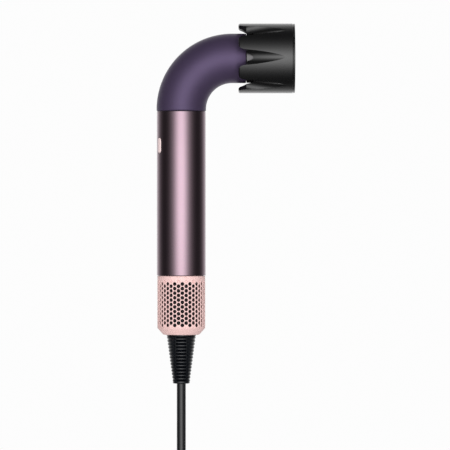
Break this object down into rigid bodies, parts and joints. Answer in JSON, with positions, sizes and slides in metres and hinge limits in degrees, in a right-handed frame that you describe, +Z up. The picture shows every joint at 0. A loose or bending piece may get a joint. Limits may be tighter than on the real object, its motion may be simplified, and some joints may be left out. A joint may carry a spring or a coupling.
{
  "type": "hair dryer with petalled diffuser",
  "caption": "Hook-shaped salon hair dryer: a straight handle, a bent head, a petalled diffuser on its outlet, a perforated filter cage and a hanked mains cord.",
  "frame": {"origin": "on the handle's axis at the middle of the grip tube", "axes": "+Z up along the handle, +X towards the outlet and the diffuser's front, Y across"},
  "size_m": [0.1068, 0.0684, 0.5259],
  "materials": {
    "handle": "satin metallic plum",
    "elbow": "satin purple",
    "silver": "bright ring",
    "pink": "satin metallic pink",
    "button": "satin cream pink",
    "black": "satin black",
    "rubber": "moulded rubber",
    "cord": "smooth sheath",
    "steel": "bright",
    "copper": "enamelled winding",
    "magnet": "plated",
    "mica": "mica sheet",
    "nylon": "moulded",
    "board": "circuit board",
    "ceramic": "ceramic bead",
    "foam": "felt and foam",
    "lens": "clear window"
  },
  "bodies": {
    "handle": {"acoustic_foam": "foam", "airflow_switch": "nylon", "bearing_lower": "steel", "bearing_upper": "steel", "board_carrier": "nylon", "bulk_capacitor": "nylon", "clamp_screw_1": "steel", "clamp_screw_2": "steel", "control_board": "board", "cord_clamp": "nylon", "cord_hank": "cord", "cord_lead": "cord", "cord_post": "nylon", "cord_tail": "cord", "cord_tie": "foam", "elbow_cover": "elbow", "filter_mesh": "steel", "handle_tube": "handle", "heat_sink": "steel", "heater_coil": "steel", "heater_frame": "mica", "heater_sleeve": "mica", "inlet_frame": "nylon", "inner_lead": "cord", "joint_collar": "nylon", "main_board": "board", "motor_board": "board", "motor_end_cap": "nylon", "motor_housing": "nylon", "motor_mount_lower": "rubber", "motor_mount_upper": "rubber", "motor_stator": "copper", "noise_choke": "copper", "outlet_core": "nylon", "outlet_ring": "silver", "plug_body": "rubber", "plug_pin_1": "steel", "plug_pin_2": "steel", "power_switch": "nylon", "status_lens": "lens", "strain_relief": "rubber", "temperature_switch": "nylon", "thermal_fuse": "steel", "thermistor": "ceramic"},
    "rotor": {"rotor_shaft": "steel", "rotor_magnet": "magnet", "impeller": "steel"},
    "filter_cage": {"filter_cage": "pink"},
    "airflow_button": {"airflow_button": "button"},
    "temperature_button": {"temperature_button": "button"},
    "power_slider": {"power_slider": "nylon"},
    "diffuser_dock": {"diffuser_magnets": "magnet", "diffuser_collar": "nylon"},
    "diffuser": {"diffuser_body": "black", "diffuser_rim": "black", "diffuser_screen": "black", "diffuser_deflector": "black"}
  },
  "joints": [
    {"name": "rotor_spin", "type": "hinge", "parent": "handle", "child": "rotor", "pos_m": [0, 0, 0], "axis": [0, 0, 1], "continuous": true},
    {"name": "filter_cage_pull", "type": "slide", "parent": "handle", "child": "filter_cage", "axis": [0, 0, -1], "range_m": [0, 0.055]},
    {"name": "airflow_press", "type": "slide", "parent": "handle", "child": "airflow_button", "axis": [0.8886, 0.4587, 0], "range_m": [0, 0.0007], "stiffness_N_per_m": 600, "springref_m": -0.002},
    {"name": "temperature_press", "type": "slide", "parent": "handle", "child": "temperature_button", "axis": [0.8886, -0.4587, 0], "range_m": [0, 0.0007], "stiffness_N_per_m": 600, "springref_m": -0.002},
    {"name": "power_slide", "type": "slide", "parent": "handle", "child": "power_slider", "axis": [0, 0, 1], "range_m": [0, 0.005]},
    {"name": "diffuser_pull", "type": "slide", "parent": "handle", "child": "diffuser_dock", "axis": [1, 0, 0], "range_m": [0, 0.03]},
    {"name": "diffuser_spin", "type": "hinge", "parent": "diffuser_dock", "child": "diffuser", "pos_m": [0.065, 0, 0.1044], "axis": [1, 0, 0], "continuous": true}
  ]
}
